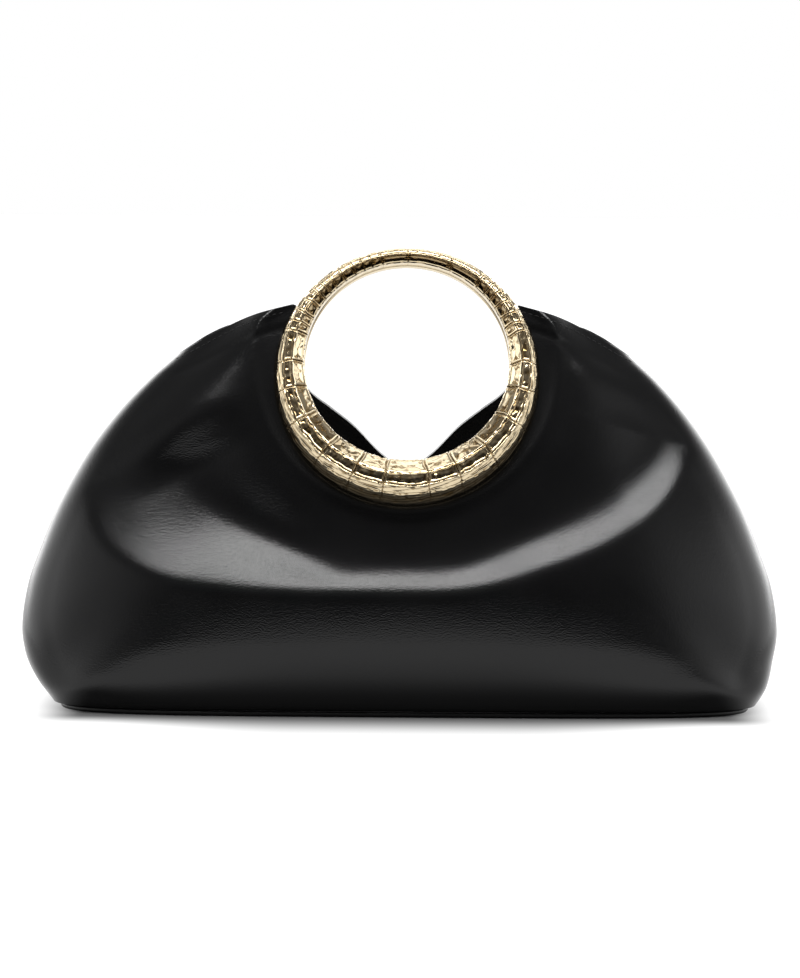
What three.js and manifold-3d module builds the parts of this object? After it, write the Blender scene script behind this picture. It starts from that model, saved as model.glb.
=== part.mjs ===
// A half-moon clutch bag: two puffed leather panels on a flat base, with a cast ring handle
// set in the front panel. Millimetres, +Z up, the front faces -Y, and the origin lies on the
// floor under the middle of the base.

import * as THREE from 'three';
import { mergeVertices } from 'three/addons/utils/BufferGeometryUtils.js';
import Module from 'manifold-3d';

const { clamp, degToRad, lerp, smoothstep } = THREE.MathUtils;

// Leather
const LEATHER = 1.8;
const SEAM_GAP = 0.3;
const BASE_THICKNESS = 2;
const BASE_LENGTH = 273;
const BASE_DEPTH = 93;
const BASE_SQUARE = 4.5;
const BASE_SIDES = 72;
const PANEL_FOOT = BASE_THICKNESS + SEAM_GAP;
const PANEL_TOP = 166;
const PANEL_LEVELS = 24;
const PANEL_COLUMNS = 20;

// Level sections of the stuffed body, measured from its middle planes. The square column is
// the exponent of the rounded section: 2 is an ellipse, and more is boxier.
const BODY_SECTIONS = [
  { z: 2.3, halfWidth: 139.5, halfDepth: 46, square: 4.5 },
  { z: 10, halfWidth: 144.5, halfDepth: 51.5, square: 4.2 },
  { z: 20, halfWidth: 148.2, halfDepth: 54.4, square: 3.6 },
  { z: 31, halfWidth: 150, halfDepth: 55.8, square: 3.1 },
  { z: 48, halfWidth: 147.6, halfDepth: 54.6, square: 2.8 },
  { z: 62, halfWidth: 142.8, halfDepth: 51.6, square: 2.7 },
  { z: 77, halfWidth: 136.8, halfDepth: 47.4, square: 2.6 },
  { z: 90, halfWidth: 130.1, halfDepth: 43.3, square: 2.5 },
  { z: 104, halfWidth: 121.6, halfDepth: 38.3, square: 2.4 },
  { z: 118, halfWidth: 110.9, halfDepth: 32.7, square: 2.3 },
  { z: 130, halfWidth: 99.6, halfDepth: 27.5, square: 2.25 },
  { z: 139, halfWidth: 89.5, halfDepth: 23.4, square: 2.2 },
  { z: 150, halfWidth: 79, halfDepth: 18, square: 2.15 },
  { z: 160, halfWidth: 68, halfDepth: 12.5, square: 2.1 },
  { z: 170, halfWidth: 54, halfDepth: 6, square: 2 },
];

// The right half of each cut rim, from the end of the side seam inwards. The front rim ends
// at the collar's hole, and the back rim is scooped out behind the ring for a hand.
const FRONT_RIM = [
  { x: 89.5, z: 139 },
  { x: 74, z: 148.2 },
  { x: 59, z: 155.4 },
  { x: 44, z: 159.6 },
];
const BACK_RIM = [
  { x: 89.5, z: 139 },
  { x: 78, z: 146.5 },
  { x: 68, z: 150.3 },
  { x: 59, z: 147.3 },
  { x: 49, z: 135.5 },
  { x: 39, z: 122.8 },
  { x: 30, z: 115.5 },
  { x: 21, z: 108.2 },
  { x: 13, z: 99.6 },
  { x: 8, z: 95 },
  { x: 0, z: 89 },
];
const RIM_STEP = 6;

// The ring leans back with the collar, the flat zone of the front panel that it lies on.
const RING_CENTRE = { y: -23, z: 136.6 };
const RING_LEAN = degToRad(18);
const RING_HOLE = 40.2;
const RING_WIDTH = { bottom: 17.4, top: 6 };
const RING_DEPTH = { bottom: 13.2, top: 7.6 };

// The ring's section in shares of its width, from the hole outwards, and of its depth: the wall
// of the hole, three facets with rows of plates, and a plain flank down to the collar.
const RING_SECTION = [
  { side: 0, front: 0 },
  { side: 0, front: 0.5 },
  { side: 0.39, front: 1 },
  { side: 0.68, front: 0.98 },
  { side: 0.85, front: 0.78 },
  { side: 0.98, front: 0.3 },
  { side: 1, front: 0 },
];
const PLATE_FACETS = [1, 2, 3];
const SECTION_CORE = 0.5;

// Cast scales: belly plates low on the ring, small scales above them, long streaks on top.
// Degrees run up both sides from the bottom, and a plate straddles the bottom.
const SCALE_ZONES = [
  { to: 10, plates: 1 },
  { to: 104, plates: 6 },
  { to: 136, plates: 5 },
  { to: 180, plates: 2 },
];
const SCALE_RISE = 0.6;
const SCALE_CROWN = 0.3;
const GROOVE_ALONG = 0.9;
const GROOVE_ACROSS = 0.1;

// A flat ring inside the bag clamps the collar, and steps up to the handle above the leather.
const BACKING_HOLE = 40;
const BACKING_RIM = 46.6;
const BACKING_THICKNESS = 2;
const BACKING_STEP = { from: 120, to: 126 };
const BACKING_SIDES = 60;

// The collar ends at a crease. Below it lies a dish, which fades towards the shoulders. A flank
// rises from it to the swag, a ridge that hangs across the front like a curtain, and the flank
// is wider and gentler at the sides. A fold runs up from each bottom corner.
const COLLAR_HOLE = 41.7;
const CREASE = { radius: 59.6, share: 0.8 };
const SWAG = { z: 112, halfWidth: 119.5, drop: 62.6, square: 2.5, share: 0.92, round: 1.3 };
const FLANK = { middle: 10, side: 65, ease: 0.22 };
const FLANK_WIDTH = { middle: 9, side: 18 };
const FLANK_SLOPE = { middle: 0.5, side: 0.3 };
const DISH = { lead: 0.7, full: degToRad(-24), none: degToRad(-7) };
const CORNER_FOLD = { depth: 1.4, spread: 0.07, from: 0.66 };
const SEARCH_STEPS = 40;

const leather = new THREE.MeshStandardMaterial({ color: 0x0c0c0d, roughness: 0.38, metalness: 0 });
const gold = new THREE.MeshStandardMaterial({ color: 0xdcc28c, roughness: 0.2, metalness: 1 });

const wasm = await Module();
wasm.setup();

// A smooth curve through the body's sections, read at a height in one of the columns.
function bodyAt(column, z) {
  const last = BODY_SECTIONS.length - 1;
  const height = clamp(z, BODY_SECTIONS[0].z, BODY_SECTIONS[last].z);
  const upper = Math.max(BODY_SECTIONS.findIndex((row) => row.z >= height), 1);
  const slopeAt = (index) => {
    const below = BODY_SECTIONS[Math.max(index - 1, 0)];
    const above = BODY_SECTIONS[Math.min(index + 1, last)];
    return (above[column] - below[column]) / (above.z - below.z);
  };
  const start = BODY_SECTIONS[upper - 1];
  const end = BODY_SECTIONS[upper];
  const step = end.z - start.z;
  const t = (height - start.z) / step;
  const startPart = start[column] * (1 + 2 * t) + step * slopeAt(upper - 1) * t;
  const endPart = end[column] * (3 - 2 * t) - step * slopeAt(upper) * (1 - t);
  return startPart * (1 - t) ** 2 + endPart * t ** 2;
}

// How far the puffed body stands out from the middle plane.
function puffDepth(x, z) {
  const reach = Math.min(Math.abs(x) / bodyAt('halfWidth', z), 1);
  const square = bodyAt('square', z);
  return bodyAt('halfDepth', z) * (1 - reach ** square) ** (1 / square);
}

// A quarter of one level section, from the middle of a panel to the side seam.
class LevelCurve extends THREE.Curve {
  constructor(z) {
    super();
    this.z = z;
    this.arcLengthDivisions = 800;
  }

  getPoint(t) {
    const turn = (t * Math.PI) / 2;
    const power = 2 / bodyAt('square', this.z);
    const x = bodyAt('halfWidth', this.z) * Math.sin(turn) ** power;
    const y = bodyAt('halfDepth', this.z) * Math.cos(turn) ** power;
    return new THREE.Vector2(x, y);
  }
}

// A ray from the ring's centre, seen from the front, up to the outline of the body.
function rayTo(x, z) {
  const turn = Math.atan2(z - RING_CENTRE.z, Math.abs(x));
  let inside = 0;
  let outside = 2 * PANEL_TOP;
  for (let step = 0; step < SEARCH_STEPS; step += 1) {
    const middle = (inside + outside) / 2;
    const height = RING_CENTRE.z + middle * Math.sin(turn);
    const within = height > PANEL_FOOT && middle * Math.cos(turn) < bodyAt('halfWidth', height);
    if (within) inside = middle;
    else outside = middle;
  }
  return { turn, radius: Math.hypot(x, z - RING_CENTRE.z), reach: inside };
}

// A dent that runs up from the bottom corner and fades before the middle of the panel.
function cornerFold({ turn, radius, reach }) {
  const corner = Math.atan2(PANEL_FOOT - RING_CENTRE.z, bodyAt('halfWidth', PANEL_FOOT));
  const across = Math.exp(-(((turn - corner) / CORNER_FOLD.spread) ** 2));
  const along = clamp((radius / reach - CORNER_FOLD.from) / (1 - CORNER_FOLD.from), 0, 1);
  return CORNER_FOLD.depth * across * Math.sin(along * Math.PI);
}

// Where a ray from the ring's centre meets the swag.
function swagReach(turn) {
  const rise = RING_CENTRE.z - SWAG.z;
  let radius = SWAG.drop;
  for (let step = 0; step < SEARCH_STEPS; step += 1) {
    const across = Math.abs(radius * Math.cos(turn)) / SWAG.halfWidth;
    const down = Math.abs(radius * Math.sin(turn) + rise) / SWAG.drop;
    const size = (across ** SWAG.square + down ** SWAG.square) ** (1 / SWAG.square);
    radius *= 1 + 0.5 * (1 / size - 1);
  }
  return radius;
}

function collarDepth(z) {
  return (RING_CENTRE.z - z) * Math.tan(RING_LEAN) - RING_CENTRE.y;
}

function backDepth(x, z) {
  return puffDepth(x, z) - cornerFold(rayTo(x, z));
}

// The crease is round in the plane of the collar, and so it is flattened from the front.
function creaseReach({ turn, reach }) {
  const round = CREASE.radius / Math.hypot(Math.cos(turn), Math.sin(turn) / Math.cos(RING_LEAN));
  return Math.min(round, CREASE.share * reach);
}

// Nothing before its start and a straight rise after it, with a soft turn between them.
function easeOn(length, soft) {
  return soft * Math.log1p(Math.exp(length / soft));
}

function frontDepth(x, z) {
  const ray = rayTo(x, z);
  const crease = creaseReach(ray);
  const swag = Math.min(swagReach(ray.turn), SWAG.share * ray.reach);
  const blend = smoothstep(ray.radius, crease, swag);
  const aside = smoothstep(Math.abs(x), FLANK.middle, FLANK.side);
  const flank = lerp(FLANK_WIDTH.middle, FLANK_WIDTH.side, aside);
  const slope = lerp(FLANK_SLOPE.middle, FLANK_SLOPE.side, aside);
  const inside = swag - ray.radius;
  const rise = easeOn(inside, SWAG.round) - easeOn(inside - flank, FLANK.ease * flank);
  const lead = smoothstep(ray.radius - crease, 0, DISH.lead * (swag - crease));
  const fade = 1 - smoothstep(ray.turn, DISH.full, DISH.none);
  return lerp(collarDepth(z), backDepth(x, z), blend) - slope * rise * lead * fade;
}

// A mesh through loops of points. Closed loops of a ring run all the way round, and the two
// ends of a sheet are capped across its thickness.
function skin(loops, ringed) {
  const size = loops[0].length;
  const triangles = [];
  const quad = (a, b, c, d) => triangles.push(a, b, c, a, c, d);
  const spans = ringed ? loops.length : loops.length - 1;
  for (let i = 0; i < spans; i += 1) {
    const here = i * size;
    const next = ((i + 1) % loops.length) * size;
    for (let j = 0; j < size; j += 1) {
      const k = (j + 1) % size;
      quad(here + j, here + k, next + k, next + j);
    }
  }
  const lastLoop = (loops.length - 1) * size;
  for (let j = 0; !ringed && j < size / 2 - 1; j += 1) {
    const across = size - 1 - j;
    quad(j, across, across - 1, j + 1);
    quad(lastLoop + j, lastLoop + j + 1, lastLoop + across - 1, lastLoop + across);
  }
  const geometry = new THREE.BufferGeometry().setFromPoints(loops.flat());
  geometry.setIndex(triangles);
  return geometry;
}

function toSolid(geometry) {
  geometry.deleteAttribute('normal');
  geometry.deleteAttribute('uv');
  const merged = mergeVertices(geometry, 1e-4);
  const vertProperties = new Float32Array(merged.attributes.position.array);
  const triVerts = new Uint32Array(merged.index.array);
  return new wasm.Manifold(new wasm.Mesh({ numProp: 3, vertProperties, triVerts }));
}

function toGeometry(solid) {
  const { vertProperties, triVerts } = solid.getMesh();
  const geometry = new THREE.BufferGeometry();
  geometry.setAttribute('position', new THREE.BufferAttribute(vertProperties, 3));
  geometry.setIndex(new THREE.BufferAttribute(triVerts, 1));
  geometry.computeVertexNormals();
  return geometry;
}

// The outer points of an uncut panel: a level section in each row, from left to right.
function panelRows(facing, depthAt) {
  const rows = [];
  for (let i = 0; i <= PANEL_LEVELS; i += 1) {
    const z = lerp(PANEL_FOOT, PANEL_TOP, i / PANEL_LEVELS);
    const right = new LevelCurve(z).getSpacedPoints(PANEL_COLUMNS).map((point) => point.x);
    const left = right.slice(1).reverse().map((x) => -x);
    rows.push([...left, ...right].map((x) => {
      const depth = Math.max(depthAt(x, z), SEAM_GAP / 2);
      return new THREE.Vector3(x, facing * depth, z);
    }));
  }
  return rows;
}

// A leather wall on those points. Its cut edges are level at the foot and along the seams.
function panelWall(rows, facing) {
  const columns = rows[0].length - 1;
  const loops = rows.map((points, i) => {
    const below = rows[Math.max(i - 1, 0)];
    const above = rows[Math.min(i + 1, rows.length - 1)];
    const inner = points.map((point, j) => {
      const across = points[Math.min(j + 1, columns)].clone().sub(points[Math.max(j - 1, 0)]);
      const outward = across.cross(above[j].clone().sub(below[j])).multiplyScalar(-facing);
      if (i === 0) outward.z = 0;
      if (j === 0 || j === columns) outward.y = 0;
      return point.clone().addScaledVector(outward.normalize(), -LEATHER);
    });
    return facing < 0 ? [...points, ...inner.reverse()] : [...inner, ...points.slice().reverse()];
  });
  return skin(loops, false);
}

// Points along a curve, evenly spaced, without the last one.
function spaced(curve) {
  return curve.getSpacedPoints(Math.round(curve.getLength() / RIM_STEP)).slice(0, -1);
}

// What is cut away above a rim, seen from the front.
function aboveRim(rimRows, hole) {
  const right = rimRows.map((row) => new THREE.Vector2(row.x, row.z));
  const left = right.map((point) => new THREE.Vector2(-point.x, point.y));
  const outline = spaced(new THREE.SplineCurve(left));
  if (hole) {
    const { x, y } = right.at(-1);
    const flatRadius = hole * Math.cos(RING_LEAN);
    const start = Math.atan2((y - RING_CENTRE.z) / flatRadius, x / hole);
    const ends = [Math.PI - start, 2 * Math.PI + start];
    const round = new THREE.EllipseCurve(0, RING_CENTRE.z, hole, flatRadius, ...ends);
    outline.push(left.at(-1), ...spaced(round));
  }
  outline.push(...spaced(new THREE.SplineCurve(right.reverse())));
  const side = 2 * BASE_LENGTH;
  const top = 2 * PANEL_TOP;
  const { x, z } = rimRows[0];
  const corners = [[x, z], [side, z], [side, top], [-side, top], [-side, z]];
  outline.push(...corners.map((corner) => new THREE.Vector2(...corner)));
  const depth = 2 * BASE_DEPTH;
  const cutter = new THREE.ExtrudeGeometry(new THREE.Shape(outline), { depth, bevelEnabled: false });
  return cutter.rotateX(Math.PI / 2).translate(0, depth / 2, 0);
}

function panel(name, facing, depthAt, rimRows, hole) {
  const wall = toSolid(panelWall(panelRows(facing, depthAt), facing));
  const cut = wall.subtract(toSolid(aboveRim(rimRows, hole)));
  const mesh = new THREE.Mesh(toGeometry(cut), leather);
  mesh.name = name;
  return mesh;
}

function basePanel() {
  const outline = new THREE.Shape();
  const power = 2 / BASE_SQUARE;
  for (let i = 0; i < BASE_SIDES; i += 1) {
    const turn = ((i + 0.5) / BASE_SIDES) * 2 * Math.PI;
    const x = (Math.sign(Math.cos(turn)) * Math.abs(Math.cos(turn)) ** power * BASE_LENGTH) / 2;
    const y = (Math.sign(Math.sin(turn)) * Math.abs(Math.sin(turn)) ** power * BASE_DEPTH) / 2;
    if (i === 0) outline.moveTo(x, y);
    else outline.lineTo(x, y);
  }
  outline.closePath();
  const geometry = new THREE.ExtrudeGeometry(outline, { depth: BASE_THICKNESS, bevelEnabled: false });
  const mesh = new THREE.Mesh(geometry, leather);
  mesh.name = 'base_panel';
  return mesh;
}

// A point at an angle from the bottom of the ring, at a radius and at a place along its axis.
function ringPoint(turn, radius, axial) {
  return new THREE.Vector3(radius * Math.sin(turn), axial, -radius * Math.cos(turn));
}

// Stations across a run of plates: each groove, the edges of its plates, and their middles.
function plateStations(borders, groove) {
  const stations = [];
  for (let i = 0; i + 1 < borders.length; i += 1) {
    const start = borders[i];
    const end = borders[i + 1];
    stations.push({ place: start, rise: 0 });
    stations.push({ place: start + groove, rise: SCALE_RISE });
    stations.push({ place: (start + end) / 2, rise: SCALE_RISE + SCALE_CROWN });
    stations.push({ place: end - groove, rise: SCALE_RISE });
  }
  stations.push({ place: borders.at(-1), rise: 0 });
  return stations;
}

// Borders of the plates round the ring, in degrees, from one side of the top to the other.
function plateBorders() {
  const borders = [];
  let from = 0;
  SCALE_ZONES.forEach(({ to, plates }) => {
    for (let i = 1; i <= plates; i += 1) borders.push(lerp(from, to, i / plates));
    from = to;
  });
  const mirrored = borders.map((border) => -border).reverse();
  return [...mirrored, ...borders];
}

// A place on the ring's section: whole numbers are its corners.
function sectionAt(place) {
  const corner = Math.min(Math.floor(place), RING_SECTION.length - 2);
  const start = RING_SECTION[corner];
  const end = RING_SECTION[corner + 1];
  const side = lerp(start.side, end.side, place - corner);
  return { side, front: lerp(start.front, end.front, place - corner) };
}

// The section has a flat back, and it is widest and deepest at the bottom. Grooves between the
// plates are sunk towards its core, on the back.
function ringHandle() {
  const along = plateStations(plateBorders(), GROOVE_ALONG).slice(0, -1);
  const plateRows = [...PLATE_FACETS, PLATE_FACETS.at(-1) + 1];
  const corners = RING_SECTION.map((_, place) => ({ place, rise: SCALE_RISE }));
  const flank = corners.slice(plateRows.at(-1) + 1);
  const across = [{ place: 0, rise: 0 }, ...plateStations(plateRows, GROOVE_ACROSS), ...flank];
  const loops = along.map((station) => {
    const turn = degToRad(station.place);
    const low = (1 + Math.cos(turn)) / 2;
    const width = lerp(RING_WIDTH.top, RING_WIDTH.bottom, low);
    const depth = lerp(RING_DEPTH.top, RING_DEPTH.bottom, low);
    return across.map((row) => {
      const { side, front } = sectionAt(row.place);
      const sunk = front * (SCALE_RISE + SCALE_CROWN - Math.min(station.rise, row.rise));
      const place = new THREE.Vector2(side * width, front * depth);
      const inwards = new THREE.Vector2(SECTION_CORE * width, 0).sub(place).setLength(sunk);
      place.add(inwards);
      return ringPoint(turn, RING_HOLE + place.x, -SEAM_GAP - place.y);
    });
  });
  const mesh = new THREE.Mesh(skin(loops, true), gold);
  mesh.name = 'ring_handle';
  return mesh;
}

// Above the leather the backing comes forward to the handle.
function ringBacking() {
  const back = LEATHER + SEAM_GAP + BACKING_THICKNESS;
  const loops = [];
  for (let i = 0; i < BACKING_SIDES; i += 1) {
    const degrees = (i / BACKING_SIDES) * 360 - 180;
    const turn = degToRad(degrees);
    const clear = smoothstep(Math.abs(degrees), BACKING_STEP.from, BACKING_STEP.to);
    const front = lerp(LEATHER + SEAM_GAP, 0, clear);
    loops.push([
      ringPoint(turn, BACKING_HOLE, back),
      ringPoint(turn, BACKING_HOLE, front),
      ringPoint(turn, BACKING_RIM, front),
      ringPoint(turn, BACKING_RIM, back),
    ]);
  }
  const mesh = new THREE.Mesh(skin(loops, true), gold);
  mesh.name = 'ring_backing';
  return mesh;
}

const bag = new THREE.Group();
bag.add(basePanel());
bag.add(panel('front_panel', -1, frontDepth, FRONT_RIM, COLLAR_HOLE));
bag.add(panel('back_panel', 1, backDepth, BACK_RIM, null));

const ring = new THREE.Group();
ring.position.set(0, RING_CENTRE.y, RING_CENTRE.z);
ring.rotation.x = -RING_LEAN;
ring.add(ringHandle(), ringBacking());
bag.add(ring);

export default bag;
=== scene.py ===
# A half-moon clutch bag of puffed black leather with a cast ring handle, dressed around its
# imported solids. Metres, +Z up, and the front with the ring faces -Y.

import functools
import math

import bmesh
import bpy
import numpy as np
from mathutils import Matrix, Vector, noise


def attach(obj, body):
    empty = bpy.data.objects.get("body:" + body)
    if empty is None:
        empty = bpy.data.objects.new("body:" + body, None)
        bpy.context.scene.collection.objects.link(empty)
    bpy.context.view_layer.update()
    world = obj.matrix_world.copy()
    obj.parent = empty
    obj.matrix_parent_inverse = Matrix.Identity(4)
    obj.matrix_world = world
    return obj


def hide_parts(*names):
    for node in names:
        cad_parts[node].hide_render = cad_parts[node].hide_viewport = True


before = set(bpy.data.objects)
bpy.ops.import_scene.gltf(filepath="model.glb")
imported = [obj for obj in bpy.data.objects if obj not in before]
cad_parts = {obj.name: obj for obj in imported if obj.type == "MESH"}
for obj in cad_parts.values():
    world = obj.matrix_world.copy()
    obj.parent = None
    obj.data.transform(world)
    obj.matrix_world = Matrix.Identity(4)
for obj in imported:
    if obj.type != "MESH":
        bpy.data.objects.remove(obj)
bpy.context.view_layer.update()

# Base panel
# The flat floor of the bag: a stiff board wrapped in the same black calf, with rounded corners.
# The panels are sewn round it, and its turned edge shows as a thin line below them.
MM = 0.001
base_thickness = 2.0
base_half_length = 136.5
base_half_depth = 46.5
base_square = 4.5
base_sides = 240
base_edge_round = 0.8
calf_black = (0.0022, 0.0022, 0.0024)
shine_spread = 0.02


def link_node(tree, kind, **settings):
    """A new node of that kind, with its plain settings."""
    node = tree.nodes.new(kind)
    for name, value in settings.items():
        setattr(node, name, value)
    return node


def calf_grain_group():
    """Smooth calf seen close: pores, a soft pebble, and fine creases where the leather bends."""
    tree = bpy.data.node_groups.new("calf_grain", "ShaderNodeTree")
    sockets = tree.interface
    sockets.new_socket("Place", in_out="INPUT", socket_type="NodeSocketVector")
    sockets.new_socket("Pore Scale", in_out="INPUT", socket_type="NodeSocketFloat")
    sockets.new_socket("Crease", in_out="INPUT", socket_type="NodeSocketFloat")
    sockets.new_socket("Height", in_out="OUTPUT", socket_type="NodeSocketFloat")
    sockets.new_socket("Shine", in_out="OUTPUT", socket_type="NodeSocketFloat")
    entry = link_node(tree, "NodeGroupInput")
    exit_node = link_node(tree, "NodeGroupOutput")

    pores = link_node(tree, "ShaderNodeTexVoronoi", feature="SMOOTH_F1")
    pores.inputs["Smoothness"].default_value = 0.6
    tree.links.new(entry.outputs["Place"], pores.inputs["Vector"])
    tree.links.new(entry.outputs["Pore Scale"], pores.inputs["Scale"])

    pebble = link_node(tree, "ShaderNodeTexNoise")
    pebble.inputs["Scale"].default_value = 900
    pebble.inputs["Detail"].default_value = 4
    tree.links.new(entry.outputs["Place"], pebble.inputs["Vector"])

    # The pattern is squeezed in height, so that the creases run level along the bag.
    stretch = link_node(tree, "ShaderNodeMapping")
    stretch.inputs["Scale"].default_value = (1.0, 1.0, 2.6)
    stretch.inputs["Rotation"].default_value = (0.0, 0.35, 0.0)
    tree.links.new(entry.outputs["Place"], stretch.inputs["Vector"])
    creases = link_node(tree, "ShaderNodeTexNoise")
    creases.inputs["Scale"].default_value = 150
    creases.inputs["Detail"].default_value = 3
    creases.inputs["Distortion"].default_value = 0.6
    tree.links.new(stretch.outputs["Vector"], creases.inputs["Vector"])

    creased = link_node(tree, "ShaderNodeMath", operation="MULTIPLY")
    tree.links.new(creases.outputs["Fac"], creased.inputs[0])
    tree.links.new(entry.outputs["Crease"], creased.inputs[1])
    fine = link_node(tree, "ShaderNodeMath", operation="MULTIPLY_ADD")
    fine.inputs[1].default_value = 0.15
    tree.links.new(pebble.outputs["Fac"], fine.inputs[0])
    tree.links.new(creased.outputs["Value"], fine.inputs[2])
    height = link_node(tree, "ShaderNodeMath", operation="MULTIPLY_ADD")
    height.inputs[1].default_value = 0.8
    tree.links.new(pores.outputs["Distance"], height.inputs[0])
    tree.links.new(fine.outputs["Value"], height.inputs[2])
    tree.links.new(height.outputs["Value"], exit_node.inputs["Height"])

    patches = link_node(tree, "ShaderNodeTexNoise")
    patches.inputs["Scale"].default_value = 38
    patches.inputs["Detail"].default_value = 3
    tree.links.new(entry.outputs["Place"], patches.inputs["Vector"])
    tree.links.new(patches.outputs["Fac"], exit_node.inputs["Shine"])
    return tree


calf_grain = calf_grain_group()


def leather_material(name, colour, roughness, bump_distance, crease):
    """Black leather: its grain as bump, and a shine that varies in soft patches."""
    material = bpy.data.materials.new(name)
    material.use_nodes = True
    tree = material.node_tree
    surface = tree.nodes["Principled BSDF"]
    surface.inputs["IOR"].default_value = 1.38

    place = link_node(tree, "ShaderNodeTexCoord")
    grain = link_node(tree, "ShaderNodeGroup", node_tree=calf_grain)
    grain.inputs["Pore Scale"].default_value = 1700
    grain.inputs["Crease"].default_value = crease
    tree.links.new(place.outputs["Object"], grain.inputs["Place"])

    bump = link_node(tree, "ShaderNodeBump")
    bump.inputs["Strength"].default_value = 1.0
    bump.inputs["Distance"].default_value = bump_distance
    tree.links.new(grain.outputs["Height"], bump.inputs["Height"])
    tree.links.new(bump.outputs["Normal"], surface.inputs["Normal"])

    shine = link_node(tree, "ShaderNodeMapRange")
    shine.inputs["From Min"].default_value = 0.3
    shine.inputs["From Max"].default_value = 0.7
    shine.inputs["To Min"].default_value = roughness - shine_spread
    shine.inputs["To Max"].default_value = roughness + shine_spread
    tree.links.new(grain.outputs["Shine"], shine.inputs["Value"])
    tree.links.new(shine.outputs["Result"], surface.inputs["Roughness"])

    tone = link_node(tree, "ShaderNodeMix", data_type="RGBA")
    darker, lighter = ([share * part for part in colour] for share in (0.8, 1.2))
    tone.inputs["A"].default_value = (*darker, 1.0)
    tone.inputs["B"].default_value = (*lighter, 1.0)
    tree.links.new(grain.outputs["Shine"], tone.inputs["Factor"])
    tree.links.new(tone.outputs["Result"], surface.inputs["Base Color"])
    return material


outer_calf = leather_material("outer_calf", calf_black, 0.21, 0.00006, 0.1)
base_calf = leather_material("base_calf", calf_black, 0.45, 0.00004, 0.5)
flesh_side = leather_material("flesh_side", (0.006, 0.006, 0.0062), 0.62, 0.0002, 0.2)


def signed_power(value, power):
    """A power that keeps the sign of its value."""
    return math.copysign(abs(value) ** power, value)


def finish_piece(name, mesh_builder, materials):
    """Makes the bmesh an object at the origin that rides on the bag."""
    mesh = bpy.data.meshes.new(name)
    mesh_builder.to_mesh(mesh)
    mesh_builder.free()
    for material in materials:
        mesh.materials.append(material)
    piece = bpy.data.objects.new(name, mesh)
    bpy.context.scene.collection.objects.link(piece)
    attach(piece, "root")
    return piece


board = bmesh.new()
bmesh.ops.create_circle(board, cap_ends=True, radius=1.0, segments=base_sides)
for vert in board.verts:
    turn = math.atan2(vert.co.y, vert.co.x)
    vert.co.x = signed_power(math.cos(turn), 2 / base_square) * base_half_length * MM
    vert.co.y = signed_power(math.sin(turn), 2 / base_square) * base_half_depth * MM
raised = bmesh.ops.extrude_face_region(board, geom=board.faces[:])
raised_verts = [item for item in raised["geom"] if isinstance(item, bmesh.types.BMVert)]
bmesh.ops.translate(board, verts=raised_verts, vec=(0, 0, base_thickness * MM))
bmesh.ops.recalc_face_normals(board, faces=board.faces[:])
turned_edges = [edge for edge in board.edges if abs(edge.verts[0].co.z - edge.verts[1].co.z) < 1e-6]
bmesh.ops.bevel(
    board,
    geom=turned_edges,
    offset=base_edge_round * MM,
    affect="EDGES",
    segments=3,
    profile=0.5,
    material=-1,
)
for face in board.faces:
    face.smooth = len(face.verts) == 4
base_board = finish_piece("base_board", board, [base_calf])
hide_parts("base_panel")

# Back panel
# One piece of black calf, cut flat, puffed by what the bag holds, and scooped out in a V behind
# the ring for a hand. It is sewn to the base and, along both sides, to the front panel.
leather_thickness = 1.8
seam_gap = 0.3
panel_foot = base_thickness + seam_gap
panel_top = 166.0
panel_levels = 122
panel_columns = 276
cell = 1.35
ring_y = -23.0
ring_z = 136.6
ring_lean = math.radians(18)
mouth_end = (89.5, 139.0)

# Level sections of the stuffed body: height, half width, half depth, and how boxy it is.
body_rows = np.array([
    [2.3, 139.5, 46.0, 4.5],
    [10, 144.5, 51.5, 4.2],
    [20, 148.2, 54.4, 3.6],
    [31, 150.0, 55.8, 3.1],
    [48, 147.6, 54.6, 2.8],
    [62, 142.8, 51.6, 2.7],
    [77, 136.8, 47.4, 2.6],
    [90, 130.1, 43.3, 2.5],
    [104, 121.6, 38.3, 2.4],
    [118, 110.9, 32.7, 2.3],
    [130, 99.6, 27.5, 2.25],
    [139, 89.5, 23.4, 2.2],
    [150, 79.0, 18.0, 2.15],
    [160, 68.0, 12.5, 2.1],
    [170, 54.0, 6.0, 2.0],
])
WIDTH, DEPTH, SQUARE = 1, 2, 3
fold_depth = 4.2
fold_roll = (1.2, 0.1)
fold_lead = 0.4
fold_reach = 45.0
fold_start = (0, 16)
fold_fade = (18, 80)
steepest = 30
search_steps = 40
curve_steps = 500
spline_steps = 60
back_rim_points = [
    mouth_end, (78, 146.5), (68, 150.3), (59, 147.3), (49, 135.5), (39, 122.8),
    (30, 115.5), (21, 108.2), (13, 99.6), (8, 95), (0, 89),
]
hem_width = 7.5
hem_ends = (1.6, 0.8)
hem_rise = 0.25
hem_crease = 0.15
hem_crease_place = 0.6
hem_crease_spread = 1.3
edge_round = 0.5
seam_share = 0.9999

# How the stepped edge of a cut panel is brought to its rim.
snap_reach = 0.5 * cell
draw_reach = 2 * cell
merge_reach = 0.1 * cell
ease_reach = 5 * cell
ease_rounds = 8

# How far the ends lean over, which share of the width leans, and where that starts and lets off.
slump_left = -2.4
slump_right = -2.0
slump_ends = (0.45, 1.0)
slump_foot = (3, 22)
slump_top = (90, 150)
slump_lost = 0.6


def smoothstep(value, low, high):
    """A soft step from nothing at one limit to one at the other."""
    share = np.clip((value - low) / (high - low), 0, 1)
    return share * share * (3 - 2 * share)


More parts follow.
